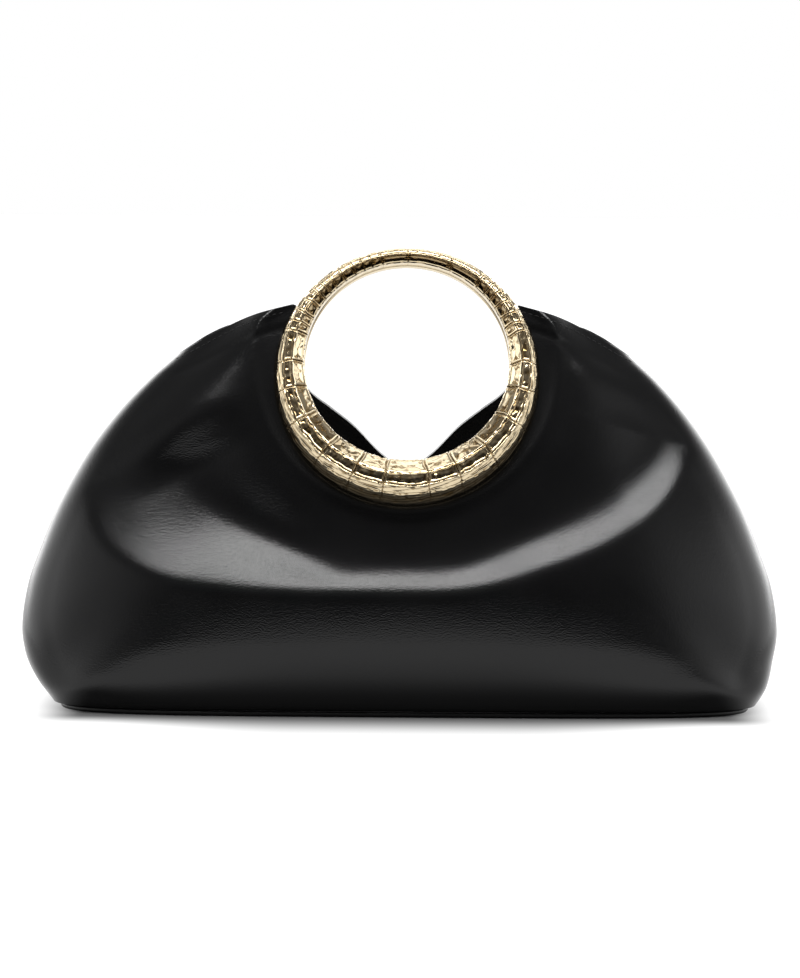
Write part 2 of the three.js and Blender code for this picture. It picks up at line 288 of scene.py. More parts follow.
def body_at(column, z):
    """A smooth curve through the body's sections, read at heights in one of the columns."""
    heights = body_rows[:, 0]
    values = body_rows[:, column]
    last = len(heights) - 1
    below = np.maximum(np.arange(last + 1) - 1, 0)
    above = np.minimum(np.arange(last + 1) + 1, last)
    slopes = (values[above] - values[below]) / (heights[above] - heights[below])
    height = np.clip(z, heights[0], heights[last])
    upper = np.clip(np.searchsorted(heights, height), 1, last)
    step = heights[upper] - heights[upper - 1]
    share = (height - heights[upper - 1]) / step
    start = values[upper - 1] * (1 + 2 * share) + step * slopes[upper - 1] * share
    end = values[upper] * (3 - 2 * share) - step * slopes[upper] * (1 - share)
    return start * (1 - share) ** 2 + end * share**2


def lengths_along(line):
    """The length along a line up to each of its points."""
    return np.concatenate([[0], np.cumsum(np.hypot(*np.diff(line, axis=0).T))])


def points_along(line, lengths, places):
    """The points of a line at those lengths along it."""
    return np.stack([np.interp(places, lengths, line[:, i]) for i in (0, 1)], axis=1)


@functools.lru_cache(maxsize=None)
def level_curve(z):
    """Half of a level section, from the middle to the side seam: x, and the length up to it."""
    turn = np.linspace(0, math.pi / 2, curve_steps)
    power = 2 / body_at(SQUARE, z)
    x = body_at(WIDTH, z) * np.sin(turn) ** power
    y = body_at(DEPTH, z) * np.maximum(np.cos(turn), 0) ** power
    return x, lengths_along(np.stack([x, y], axis=1))


def along_at(x, z):
    """How far a point of the panel lies from its middle line, along the leather."""
    lengths = [np.interp(abs(a), *level_curve(round(b, 3))) for a, b in zip(x, z)]
    return np.sign(x) * np.array(lengths)


def across_at(along, z):
    """The x of points that lie that far along the leather."""
    places = []
    for length, height in zip(along, z):
        x, lengths = level_curve(round(height, 3))
        places.append(np.interp(abs(length), lengths, x))
    return np.sign(along) * np.array(places)


def ray_from_ring(x, z):
    """Turn and radius of points about the ring's centre, and the reach of the body there."""
    turn = np.arctan2(z - ring_z, np.abs(x))
    inside = np.zeros_like(turn)
    outside = np.full_like(turn, 2 * panel_top)
    for _ in range(search_steps):
        middle = (inside + outside) / 2
        height = ring_z + middle * np.sin(turn)
        fits = (height > panel_foot) & (middle * np.cos(turn) < body_at(WIDTH, height))
        inside = np.where(fits, middle, inside)
        outside = np.where(fits, outside, middle)
    return turn, np.hypot(x, z - ring_z), inside


def corner_fold(turn, radius, reach):
    """A soft fold up from each bottom corner: the belly rolls in, and the end lies deeper."""
    corner = math.atan2(panel_foot - ring_z, body_at(WIDTH, panel_foot))
    length = reach - radius
    across = (turn - corner) * radius
    roll = fold_roll[0] + fold_roll[1] * length
    step = 1 / (1 + np.exp(-np.clip(across / roll - fold_lead, -steepest, steepest)))
    end = np.exp(-np.maximum(across, 0) / fold_reach)
    fold = fold_depth * step * end * smoothstep(length, *fold_start)
    return fold * (1 - smoothstep(length, *fold_fade))


def puff_depth(x, z):
    """How far the stuffed body stands out from the middle plane, before any fold."""
    square = body_at(SQUARE, z)
    share = np.minimum(np.abs(x) / body_at(WIDTH, z), 1)
    return body_at(DEPTH, z) * (1 - share**square) ** (1 / square)


def back_depth(x, z):
    return puff_depth(x, z) - corner_fold(*ray_from_ring(x, z))


def spline_through(points, step):
    """A smooth line through points, cut in even steps, without its last point."""
    knots = np.array([points[0], *points, points[-1]], dtype=float)
    share = np.linspace(0, 1, spline_steps, endpoint=False)[:, None]
    runs = []
    for a, b, c, d in zip(knots, knots[1:], knots[2:], knots[3:]):
        bend = (2 * a - 5 * b + 4 * c - d) * share**2 + (3 * b - a - 3 * c + d) * share**3
        runs.append(b + ((c - a) * share + bend) / 2)
    fine = np.concatenate([*runs, [knots[-1]]])
    lengths = lengths_along(fine)
    return points_along(fine, lengths, np.arange(0, lengths[-1] - step / 2, step))


def flip(points):
    """The same points on the other side of the bag."""
    return [(-x, z) for x, z in points]


def nearest_on_line(points, line):
    """The nearest place on a line to each point, and how far away it is."""
    best = np.full(len(points), np.inf)
    places = np.zeros_like(points)
    for start, end in zip(line, line[1:]):
        run = end - start
        share = np.clip(((points - start) @ run) / (run @ run + 1e-12), 0, 1)
        place = start + share[:, None] * run
        gap = np.hypot(*(points - place).T)
        closer = gap < best
        best[closer] = gap[closer]
        places[closer] = place[closer]
    return places, best


def is_cut_away(points, rim):
    """Whether points of the flat panel lie above the rim."""
    side = 4 * base_half_length
    low = mouth_end[1]
    corners = [(side, low), (side, 2 * panel_top), (-side, 2 * panel_top), (-side, low)]
    outline = np.concatenate([rim, corners])
    inside = np.zeros(len(points), dtype=bool)
    for (ax, az), (bx, bz) in zip(outline, np.roll(outline, -1, axis=0)):
        if az == bz:
            continue
        crosses = (az > points[:, 1]) != (bz > points[:, 1])
        inside ^= crosses & (points[:, 0] < (bx - ax) * (points[:, 1] - az) / (bz - az) + ax)
    return inside


def flat_points(verts):
    """Length along the leather and height of a flat panel's vertices."""
    return np.array([(vert.co.x, vert.co.z) for vert in verts])


def cut_panel(rim):
    """A panel cut flat along its rim: x holds the length along the leather, z the height."""
    cloth = bmesh.new()
    bmesh.ops.create_grid(cloth, x_segments=panel_columns, y_segments=panel_levels, size=1.0)
    for vert in cloth.verts:
        height = panel_foot + (panel_top - panel_foot) * (vert.co.y + 1) / 2
        half_length = level_curve(round(height, 3))[1][-1]
        vert.co = Vector((vert.co.x * half_length, 0, height))
    cloth.verts.ensure_lookup_table()

    points = flat_points(cloth.verts)
    places, gaps = nearest_on_line(points, rim)
    cut = is_cut_away(points, rim)
    on_rim = gaps < snap_reach
    for index in np.nonzero(on_rim)[0]:
        cloth.verts[index].co.x, cloth.verts[index].co.z = places[index]
    gone = set(np.nonzero(cut & ~on_rim)[0].tolist())
    middles = [face.calc_center_median() for face in cloth.faces]
    faces_cut = is_cut_away(np.array([(middle.x, middle.z) for middle in middles]), rim)
    waste = []
    for face, middle_cut in zip(cloth.faces, faces_cut):
        corners = [vert.index for vert in face.verts]
        if any(corner in gone for corner in corners) or (middle_cut and all(on_rim[corners])):
            waste.append(face)
    bmesh.ops.delete(cloth, geom=waste, context="FACES")

    # What is left of the stepped edge is drawn up to the rim, and the cells beside it are eased.
    edge_verts = [vert for vert in cloth.verts if vert.is_boundary]
    places, gaps = nearest_on_line(flat_points(edge_verts), rim)
    for vert, place, gap in zip(edge_verts, places, gaps):
        if gap < draw_reach:
            vert.co.x, vert.co.z = place
    bmesh.ops.dissolve_degenerate(cloth, dist=merge_reach, edges=cloth.edges[:])
    gaps = nearest_on_line(flat_points(cloth.verts), rim)[1]
    by_rim = [vert for vert, gap in zip(cloth.verts, gaps) if gap < ease_reach]
    near = [vert for vert in by_rim if not vert.is_boundary]
    for _ in range(ease_rounds):
        bmesh.ops.smooth_vert(cloth, verts=near, factor=0.5, use_axis_x=True, use_axis_z=True)
    return cloth


def hem_lift(along, z, rim):
    """The turned hem: a double thickness that ends in a soft crease below the rim."""
    gap = nearest_on_line(np.stack([along, z], axis=1), rim)[1]
    band = 1 - smoothstep(gap, hem_width - hem_ends[0], hem_width + hem_ends[1])
    crease = np.exp(-(((gap - hem_width - hem_crease_place) / hem_crease_spread) ** 2))
    return hem_rise * band - hem_crease * crease


def slump(x, z):
    """The filled bag settles a little to the left: both of its ends lean over."""
    share = smoothstep(np.abs(x) / body_at(WIDTH, z), *slump_ends)
    lean = np.where(x < 0, slump_left, slump_right)
    return lean * share * smoothstep(z, *slump_foot) * (1 - slump_lost * smoothstep(z, *slump_top))


def puffed(along, z, facing, depth_at, hem_rim):
    """Points of the flat panel, puffed out: places in metres."""
    x = across_at(along, z)
    depth = np.maximum(depth_at(x, z) + hem_lift(along, z, hem_rim), seam_gap / 2)
    share = np.abs(x) / body_at(WIDTH, z)
    depth = np.where(share > seam_share, seam_gap / 2, depth)
    return np.stack([x + slump(x, z), facing * depth, z], axis=1) * MM


def puff_panel(cloth, facing, depth_at, hem_rim):
    """Puffs out a flat panel and turns its faces outwards."""
    flat = flat_points(cloth.verts)
    for vert, place in zip(cloth.verts, puffed(flat[:, 0], flat[:, 1], facing, depth_at, hem_rim)):
        vert.co = Vector(place)
    bmesh.ops.recalc_face_normals(cloth, faces=cloth.faces[:])
    middle = max(cloth.faces, key=lambda face: face.calc_center_median().y * facing)
    if middle.normal.y * facing < 0:
        bmesh.ops.reverse_faces(cloth, faces=cloth.faces[:])
    for face in cloth.faces:
        face.smooth = True


def thicken(piece):
    """Gives the sheet its thickness inwards, with the flesh side inside and rounded edges."""
    wall = piece.modifiers.new("leather thickness", "SOLIDIFY")
    wall.thickness = leather_thickness * MM
    wall.offset = -1
    wall.material_offset = 1
    wall.material_offset_rim = 0
    edges = piece.modifiers.new("turned edges", "BEVEL")
    edges.width = edge_round * MM
    edges.segments = 2
    edges.limit_method = "ANGLE"
    edges.angle_limit = math.radians(55)
    edges.harden_normals = True


def rim_line(points):
    """A rim seen from the front, laid flat along the leather."""
    return np.stack([along_at(points[:, 0], points[:, 1]), points[:, 1]], axis=1)


rim_step = 0.8
back_left = spline_through(flip(back_rim_points), rim_step)
back_right = spline_through(back_rim_points[::-1], rim_step)
back_rim = rim_line(np.concatenate([back_left, back_right, [mouth_end]]))
back_cloth = cut_panel(back_rim)
puff_panel(back_cloth, 1, back_depth, back_rim)
back_leather = finish_piece("back_leather", back_cloth, [outer_calf, flesh_side])
thicken(back_leather)
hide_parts("back_panel")

# Front panel
# One piece of the same calf with a flat collar that the ring is clamped to. The leather hangs
# from the collar in a dish and rolls over a ridge like a swag before it turns down to the base.
front_rim_points = [mouth_end, (74, 148.2), (59, 155.4), (44, 159.6)]
collar_hole = 41.7
crease_radius = 59.6
crease_share = 0.8
swag_x = -4.5
swag_z = 112.0
swag_half_width = 119.5
swag_drop = 62.6
swag_square_left = 4.1
swag_square_right = 1.89
swag_share = 0.92
swag_change = (-60, 60)
swag_pace = 0.5
crest_round = 1.3
dish_lead = (0.54, 0.7, 0.7)
collar_edge_rise = 0.55
collar_edge_spread = 2.4
collar_steps = 240

# The flank inside the swag, on the left, in the middle and on the right of the panel.
flank_width = (29.0, 6.8, 12.0)
flank_slope = (0.345, 0.5, 0.39)
flank_ease = (0.46, 0.22, 0.22)
flank_left = (20, 78)
flank_right = (8, 70)
dish_full_degrees = (-28, -24, -17)
dish_none_degrees = (-10, -7, 0)


def swag_reach(turn, side):
    """Where a ray from the ring's centre meets the swag, which hangs lower on the left."""
    rise = ring_z - swag_z
    radius = np.full_like(turn, swag_drop)
    for _ in range(search_steps):
        x = side * radius * np.cos(turn) - swag_x
        right = smoothstep(x, *swag_change)
        square = swag_square_left + (swag_square_right - swag_square_left) * right
        across = np.abs(x) / swag_half_width
        down = np.abs(radius * np.sin(turn) + rise) / swag_drop
        size = (across**square + down**square) ** (1 / square)
        radius = radius * (1 + swag_pace * (1 / size - 1))
    return radius


def along_swag(x, values):
    """A value that passes from the left over the middle to the right."""
    left, middle, right = values
    to_left = smoothstep(-x, *flank_left)
    to_right = smoothstep(x, *flank_right)
    return middle + (left - middle) * to_left + (right - middle) * to_right


def ease_on(length, soft):
    """Nothing before its start and a straight rise after it, with a soft turn between them."""
    return soft * np.logaddexp(0, length / soft)


def crease_reach(turn, reach):
    """The collar's crease is round in its own plane, and so it is flattened from the front."""
    flat = crease_radius / np.hypot(np.cos(turn), np.sin(turn) / math.cos(ring_lean))
    return np.minimum(flat, crease_share * reach)


def collar_depth(z):
    """How far the flat collar stands out, which leans back with the ring."""
    return (ring_z - z) * math.tan(ring_lean) - ring_y


def front_depth(x, z):
    """The collar passes into the stuffed body, less the dish between the collar and the swag."""
    turn, radius, reach = ray_from_ring(x, z)
    crease = crease_reach(turn, reach)
    swag = np.minimum(swag_reach(turn, np.where(x < 0, -1, 1)), swag_share * reach)
    blend = smoothstep(radius, crease, swag)
    flank, ease = (along_swag(x, values) for values in (flank_width, flank_ease))
    rise = ease_on(swag - radius, crest_round) - ease_on(swag - radius - flank, ease * flank)
    lead = smoothstep(radius - crease, 0, along_swag(x, dish_lead) * (swag - crease))
    full, none = (along_swag(x, degrees) for degrees in (dish_full_degrees, dish_none_degrees))
    fade = 1 - smoothstep(np.degrees(turn), full, none)
    dish = along_swag(x, flank_slope) * rise * lead * fade
    edge = collar_edge_rise * np.exp(-(((radius - crease) / collar_edge_spread) ** 2))
    body = puff_depth(x, z) - corner_fold(turn, radius, reach)
    return collar_depth(z) + (body - collar_depth(z)) * blend - dish + edge


def collar_arc():
    """The collar's hole, from the left shoulder round the bottom to the right one."""
    flat_radius = collar_hole * math.cos(ring_lean)
    x, z = front_rim_points[-1]
    start = math.atan2((z - ring_z) / flat_radius, x / collar_hole)
    turn = np.linspace(math.pi - start, 2 * math.pi + start, collar_steps)
    return np.stack([collar_hole * np.cos(turn), ring_z + flat_radius * np.sin(turn)], axis=1)


front_left = spline_through(flip(front_rim_points), rim_step)
front_right = spline_through(front_rim_points[::-1], rim_step)
shoulder_points = np.concatenate([front_right, [mouth_end]])
front_rim = rim_line(np.concatenate([front_left, collar_arc(), shoulder_points]))
# The hem runs along the shoulders only: between them its line goes far above the collar.
front_hem = rim_line(np.concatenate([front_left, [(0, 4 * panel_top)], shoulder_points]))
front_cloth = cut_panel(front_rim)
puff_panel(front_cloth, -1, front_depth, front_hem)
front_leather = finish_piece("front_leather", front_cloth, [outer_calf, flesh_side])
thicken(front_leather)
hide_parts("front_panel")

# Stitching
# Black waxed thread: a row of machine stitches below each rim, and small ones over both side
# seams. Each stitch is a short rounded length of thread, half sunk in the leather.
stitch_size = (0.5, 0.3, 1.9)
stitch_pitch = 2.7
stitch_inset = 2.2
seam_stitches = (9, 135)
stitch_probe = 0.3

waxed_thread = leather_material("waxed_thread", (0.003, 0.003, 0.0032), 0.75, 0.0001, 0.0)
thread = bmesh.new()


def set_stitch(place, run, outward):
    """One stitch at a place in metres, lying along its run."""
    length = Vector(run).normalized()
    normal = Vector(outward).normalized()
    sides = zip((length.cross(normal), normal, length), stitch_size)
    axes = [axis * size * MM / 2 for axis, size in sides]
    stitch_place = Matrix([axes[0], axes[1], axes[2]]).transposed().to_4x4()
    stitch_place.translation = Vector(place)
    bmesh.ops.create_uvsphere(thread, u_segments=6, v_segments=4, radius=1.0, matrix=stitch_place)


def sew_rim(rim, facing, depth_at, hem_rim):
    """A row of stitches that follows a rim a little below it."""
    lengths = lengths_along(rim)
    even = np.arange(stitch_pitch, lengths[-1] - stitch_pitch, stitch_pitch)
    line = points_along(rim, lengths, even)
    run = np.gradient(line, axis=0)
    run /= np.hypot(run[:, 0], run[:, 1])[:, None]
    inwards = np.stack([run[:, 1], -run[:, 0]], axis=1)
    row = line + stitch_inset * inwards
    here, ahead, below = (
        puffed(points[:, 0], points[:, 1], facing, depth_at, hem_rim)
        for points in (row, row + stitch_probe * run, row + stitch_probe * inwards)
    )
    for place, along_row, down in zip(here, ahead - here, below - here):
        set_stitch(place, along_row, np.cross(down, along_row) * -facing)


sew_rim(rim_line(front_left), -1, front_depth, front_hem)
sew_rim(rim_line(shoulder_points), -1, front_depth, front_hem)
sew_rim(back_rim, 1, back_depth, back_rim)
for side in (-1, 1):
    heights = np.arange(*seam_stitches, stitch_pitch)
    edge = side * body_at(WIDTH, heights)
    seam_x = edge + slump(edge, heights)
    rise = np.gradient(seam_x, heights)
    for x, z, slope in zip(seam_x, heights, rise):
        set_stitch((x * MM, 0, z * MM), (0, 1, 0), (side, 0, -side * slope))
for face in thread.faces:
    face.smooth = True
finish_piece("stitches", thread, [waxed_thread])

# Ring backing
# A flat cast ring inside the bag. It clamps the collar against the handle, and above the leather
# it steps forward to meet it. Its front edge shows as a thin second line inside the hole.
backing_hole = 40.0
backing_rim = 46.6
backing_thickness = 2.0
backing_step = (118, 150)
backing_steps = 240
backing_edge_round = 0.4

# Takes points of the ring's own frame, in millimetres, to their place on the bag.
ring_centre = Matrix.Translation((0, ring_y * MM, ring_z * MM))
ring_place = ring_centre @ Matrix.Rotation(-ring_lean, 4, "X") @ Matrix.Scale(MM, 4)


def gold_material(name, colour, roughness):
    """Polished pale gold plating, browner with patina and painted shade where the relief is deep
    and along painted dark rows, and scuffed in fine patches.
    """
    material = bpy.data.materials.new(name)
    material.use_nodes = True
    tree = material.node_tree
    surface = tree.nodes["Principled BSDF"]
    surface.inputs["Metallic"].default_value = 1.0

    # The casting's attribute carries patina and painted shade and reflection, and mixes in the dark
    # brown tone.
    depth = link_node(tree, "ShaderNodeAttribute", attribute_name="patina_and_shade_tone")
    tone = link_node(tree, "ShaderNodeMix", data_type="RGBA")
    tone.inputs["A"].default_value = (*colour, 1.0)
    tone.inputs["B"].default_value = (0.22, 0.145, 0.06, 1.0)
    tree.links.new(depth.outputs["Fac"], tone.inputs["Factor"])
    tree.links.new(tone.outputs["Result"], surface.inputs["Base Color"])

    place = link_node(tree, "ShaderNodeTexCoord")
    scuffs = link_node(tree, "ShaderNodeTexNoise")
    scuffs.inputs["Scale"].default_value = 260
    scuffs.inputs["Detail"].default_value = 5
    tree.links.new(place.outputs["Object"], scuffs.inputs["Vector"])
    polish = link_node(tree, "ShaderNodeMapRange")
    polish.inputs["From Min"].default_value = 0.35
    polish.inputs["From Max"].default_value = 0.7
    polish.inputs["To Min"].default_value = roughness
    polish.inputs["To Max"].default_value = roughness + 0.06
    tree.links.new(scuffs.outputs["Fac"], polish.inputs["Value"])
    tree.links.new(polish.outputs["Result"], surface.inputs["Roughness"])

    bump = link_node(tree, "ShaderNodeBump")
    bump.inputs["Strength"].default_value = 0.5
    bump.inputs["Distance"].default_value = 0.00004
    tree.links.new(scuffs.outputs["Fac"], bump.inputs["Height"])
    tree.links.new(bump.outputs["Normal"], surface.inputs["Normal"])
    return material


pale_gold = gold_material("pale_gold", (0.7, 0.585, 0.395), 0.1)

backing = bmesh.new()
backing_back = leather_thickness + seam_gap + backing_thickness
backing_front = leather_thickness + seam_gap
corners = [
    backing.verts.new((0, backing_back, -backing_hole)),
    backing.verts.new((0, backing_front, -backing_hole)),
    backing.verts.new((0, backing_front, -backing_rim)),
    backing.verts.new((0, backing_back, -backing_rim)),
]
section = [backing.edges.new((corners[i], corners[(i + 1) % 4])) for i in range(4)]
bmesh.ops.spin(
    backing,
    geom=corners + section,
    axis=(0, 1, 0),
    cent=(0, 0, 0),
    angle=2 * math.pi,
    steps=backing_steps,
    use_merge=True,
)
bmesh.ops.remove_doubles(backing, verts=backing.verts[:], dist=0.001)
for vert in backing.verts:
    degrees = abs(math.degrees(math.atan2(vert.co.x, -vert.co.z)))
    if abs(vert.co.y - backing_front) < 0.01:
        vert.co.y = backing_front * (1 - float(smoothstep(degrees, *backing_step)))
bmesh.ops.recalc_face_normals(backing, faces=backing.faces[:])
backing_edges = [edge for edge in backing.edges if edge.calc_face_angle(0) > math.radians(60)]
bmesh.ops.bevel(
    backing,
    geom=backing_edges,
    offset=backing_edge_round,
    affect="EDGES",
    segments=2,
    profile=0.5,
    material=-1,
)
backing.transform(ring_place)
for face in backing.faces:
    face.smooth = True
backing_ring = finish_piece("backing_ring", backing, [pale_gold])
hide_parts("ring_backing")

# Ring handle
# One heavy cast ring, thick at the bottom and thin at the top, plated pale gold and polished.
# Its face is cast in scale relief: broad belly plates low down, small scales above, streaks on top.
ring_hole = 40.2
ring_width = (17.4, 6.0)
ring_depth = (13.2, 7.6)
ring_steps = 1100
scale_zones_right = [(10, 1), (104, 6), (138, 6), (180, 2)]
scale_zones_left = [(10, 1), (104, 6), (166, 11), (180, 1)]
streaks_right = (134, 142)
streaks_left = (162, 170)

# The section's corners in shares of its width, from the hole outwards, and of its depth, and the
# steps on each facet between them: hole wall, inner, middle and outer plates, flank, foot.
section_corners = np.array([
    (0, 0), (0, 0.5), (0.39, 1), (0.68, 0.98), (0.85, 0.78), (0.98, 0.3), (1, 0),
])
facet_steps = (8, 24, 18, 16, 14, 4)
section_round = 0.6
section_samples = 1201

# How uneven the borders of the plates are: in shares of a plate, in degrees, and in millimetres.
border_jitter = 0.14
border_wave = 1.1
row_wave = 0.5

# The relief in millimetres: how high each part of it stands, and how far it reaches.
no_border = 10
scale_rise = 0.6
seam_width = 0.32
rim_rise = 0.32
rim_place = 0.55
rim_spread = 0.28
scale_crown = 0.3
crown_reach = (0.7, 4.0)
field_reach = (0.7, 1.5)
blow_rise = 0.1
fine_blow_rise = 0.04
dent_depth = 0.16
scallop_rise = 0.16
scallop_spread = 1.3
leaf_rise = 0.22
leaf_level = 0.7
leaf_size = (1.7, 13)
streak_rise = 0.03
streak_width = 2.3
middle_radius = 47
leaf_radius = ring_hole + 6


def rounded_section():
    """Places on the section with its corners rounded, where each corner lies, and its normals."""
    size = np.array([ring_width[0], ring_depth[0]])
    corners = section_corners * size
    lengths = lengths_along(corners)
    runs = zip(lengths, lengths[1:], facet_steps)
    facets = [np.linspace(start, end, steps, endpoint=False) for start, end, steps in runs]
    places = np.concatenate([*facets, lengths[-1:]])
    fine = np.linspace(0, lengths[-1], section_samples)
    line = points_along(corners, lengths, fine)
    ends = np.minimum(places, lengths[-1] - places)
    spread = np.minimum(section_round, ends / 2 + 1e-6)
    weights = np.exp(-0.5 * ((places[:, None] - fine[None, :]) / spread[:, None]) ** 2)
    smooth = (weights @ line) / weights.sum(axis=1, keepdims=True)
    smooth[0], smooth[-1] = line[0], line[-1]
    run = np.gradient(smooth, places, axis=0)
    run /= np.hypot(run[:, 0], run[:, 1])[:, None]
    normals = np.stack([-run[:, 1], run[:, 0]], axis=1)
    return smooth / size, places, lengths, normals


def plate_borders(zones):
    """Borders of the plates on one side of the ring, in degrees up from the bottom."""
    borders = []
    start = 0
    for end, plates in zones:
        size = (end - start) / plates
        uneven = [i + border_jitter * math.sin(5 * i) for i in range(1, plates)]
        borders += [start + size * place for place in uneven] + [end]
        start = end
    return borders


def nearest_border(place, borders):
    """How far a place is from the nearest plate border, and the number of its plate."""
    index = np.clip(np.searchsorted(borders, place, side="right"), 1, len(borders) - 1)
    return np.minimum(np.abs(place - borders[index - 1]), np.abs(borders[index] - place)), index


def grain_at(points, scale, seed):
    """Smooth noise at points, from -1 to 1."""
    # Each seed reads another part of the noise.
    shift = Vector((seed * 17.3, seed * 5.1, seed * 11.7))
    return np.array([noise.noise(Vector(point) * scale + shift) for point in points])


def within(value, low, high, soft):
    """One between two limits and nothing outside them, with soft ends."""
    above_low = smoothstep(value, low - soft, low + soft)
    return above_low * (1 - smoothstep(value, high - soft, high + soft))


casting = bmesh.new()
section_steps = sum(facet_steps)
bmesh.ops.create_grid(casting, x_segments=ring_steps, y_segments=section_steps, size=1.0)
grid = np.array([(vert.co.x, vert.co.y) for vert in casting.verts])
degrees = grid[:, 0] * 180
turn = np.radians(degrees)
step = np.rint((grid[:, 1] + 1) / 2 * section_steps).astype(int)
shares, section_places, corner_places, section_normals = rounded_section()
low = (1 + np.cos(turn)) / 2
width = ring_width[1] + (ring_width[0] - ring_width[1]) * low
depth = ring_depth[1] + (ring_depth[0] - ring_depth[1]) * low
across = shares[step, 0] * width
height = shares[step, 1] * depth
section_place = section_places[step]
small = width / ring_width[0]
top = smoothstep(degrees, *streaks_right) + smoothstep(-degrees, *streaks_left)

# Borders between the plates: a fine seam with a raised rim on both sides of it. They are finer
# where the ring is thin, and the three facets of plates have them along their edges too.
circle = (np.sin(turn) * middle_radius, -np.cos(turn) * middle_radius)
around = np.stack([*circle, section_place * small], axis=1)
mm_per_degree = np.radians(ring_hole + across)
wavy_degrees = (degrees + border_wave * grain_at(around, 0.16, 1) + 180) % 360 - 180
left_borders = [-border for border in plate_borders(scale_zones_left)[::-1]]
borders = np.array(left_borders + plate_borders(scale_zones_right))
along_gap = nearest_border(wavy_degrees, borders)[0]
wavy_place = section_place + row_wave * grain_at(around, 0.35, 2)
across_gap, row = nearest_border(wavy_place, corner_places)
on_plates = (row >= 2) & (row <= 4)
gap = np.minimum(along_gap * mm_per_degree, np.where(on_plates, across_gap * small, no_border))
gap = gap / np.clip(1.3 * small, 0.45, 1)
seam = scale_rise * smoothstep(gap, 0.0, seam_width)
rim = rim_rise * np.exp(-(((gap - rim_place) / rim_spread) ** 2))
crown = scale_crown * smoothstep(gap, *crown_reach)

# The fields of the plates are hammered and dented, and the edge of the middle row is scalloped.
field = smoothstep(gap, *field_reach)
middle_row = within(section_place, corner_places[2], corner_places[3], 0.5)
blows = grain_at(around, 0.32, 3)
fine_blows = grain_at(around, 0.7, 4)
hammer = (blow_rise * blows + (fine_blow_rise + blow_rise * middle_row) * fine_blows) * field
dents = smoothstep(grain_at(around, 0.42, 5), 0.25, 0.55) * field * (1 - top)
from_edges = [(section_place - corner_places[corner]) / scallop_spread for corner in (2, 3)]
row_edges = np.exp(-(from_edges[0] ** 2)) + np.exp(-(from_edges[1] ** 2))
scallop = scallop_rise * row_edges * grain_at(around, 0.5, 6) * (1 - top)

# Long scales overlap like leaves on the outer flank, and fine streaks run over the top.
along = degrees * np.radians(leaf_radius)
leaf_place = section_place / leaf_size[0] + along / leaf_size[1] + 0.5 * grain_at(around, 0.15, 7)
leaf = np.abs(np.sin(math.pi * leaf_place))
on_flank = within(section_place, corner_places[3] + 0.5, corner_places[5], 0.6) * (1 - top)
inner_row = within(section_place, corner_places[1] + 2.2, corner_places[2] + 0.2, 0.8)
streak_place = section_place / streak_width + 0.4 * grain_at(around, 0.05, 8)
streak = np.sin(2 * math.pi * streak_place) * top
faded = np.minimum(shares[step, 1] * 2, 1)
relief = seam + rim + crown + hammer - dent_depth * dents + scallop - scale_rise - scale_crown
relief = relief + leaf_rise * (leaf - leaf_level) * on_flank + streak_rise * streak
relief = relief * faded * (0.4 + 0.6 * small)
radius = ring_hole + across + relief * section_normals[step, 0]
axial = -seam_gap - height - relief * section_normals[step, 1]

# Painted shade and reflection in the plating: it is browner in the seams, dents and between the
# leaves as patina and painted shade, and darker on the middle row, on the inner row, and down by
# the leather as painted shade and dark reflections.
climb = smoothstep(np.abs(degrees), 95, 130)
mottle = 1 + 0.9 * grain_at(around, 0.55, 9)
in_seams = 1 - smoothstep(gap, 0.0, 0.4)
# Painted shade and reflection: the middle row of plates is darker, a little less so over the top.
painted_middle_row_shade = middle_row * (0.6 - 0.25 * climb) * mottle
belly_plates = within(np.abs(degrees), 34, 62, 5)
# Painted shade and reflection on the inner row over the top and on its belly plates.
painted_inner_row_shade = inner_row * (0.8 * climb + 0.6 * belly_plates * field)
between_leaves = (1 - smoothstep(leaf, 0.0, 0.35)) * on_flank
# Painted shade on the outer flank where it meets the leather.
painted_shade_by_leather = 0.7 * smoothstep(section_place, 26, 29)
patina_and_painted_shade = in_seams + 0.7 * dents + painted_middle_row_shade + painted_inner_row_shade + (between_leaves + painted_shade_by_leather)
patina_and_painted_shade *= faded
patina_and_shade_layer = casting.verts.layers.float.new("patina_and_shade_tone")
for vert, t, r, a, g in zip(casting.verts, turn, radius, axial, np.clip(patina_and_painted_shade, 0, 1)):
    vert.co = Vector((r * math.sin(t), a, -r * math.cos(t)))
    vert[patina_and_shade_layer] = g
bmesh.ops.remove_doubles(casting, verts=casting.verts[:], dist=0.0005)
back_edges = [edge for edge in casting.edges if edge.is_boundary]
bmesh.ops.bridge_loops(casting, edges=back_edges)
casting.transform(ring_place)
bmesh.ops.recalc_face_normals(casting, faces=casting.faces[:])
for face in casting.faces:
    face.smooth = True
cast_ring = finish_piece("cast_ring", casting, [pale_gold])
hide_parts("ring_handle")

# Studio
# A floor that glows white and runs to the horizon, soft light from above and behind, and the
# photograph's camera, a little above the bag.
floor_half = 12.0

# Where the painted shadow round the base fades out, along it and across it, and what its middle
# adds.
painted_shadow_length = (0.125, 0.15)
painted_shadow_taper = (0.04, 0.13)
painted_shadow_width = (0.045, 0.07)
painted_shadow_middle = 0.035
floor_builder = bmesh.new()
bmesh.ops.create_grid(floor_builder, x_segments=1, y_segments=1, size=floor_half)
floor_mesh = bpy.data.meshes.new("floor")
floor_builder.to_mesh(floor_mesh)
floor_builder.free()
floor_paint = bpy.data.materials.new("floor_paint")
floor_paint.use_nodes = True
floor_tree = floor_paint.node_tree
floor_surface = floor_tree.nodes["Principled BSDF"]
floor_surface.inputs["Roughness"].default_value = 0.9
floor_surface.inputs["Base Color"].default_value = (0.09, 0.09, 0.09, 1.0)
floor_surface.inputs["Emission Color"].default_value = (1.0, 1.0, 1.0, 1.0)


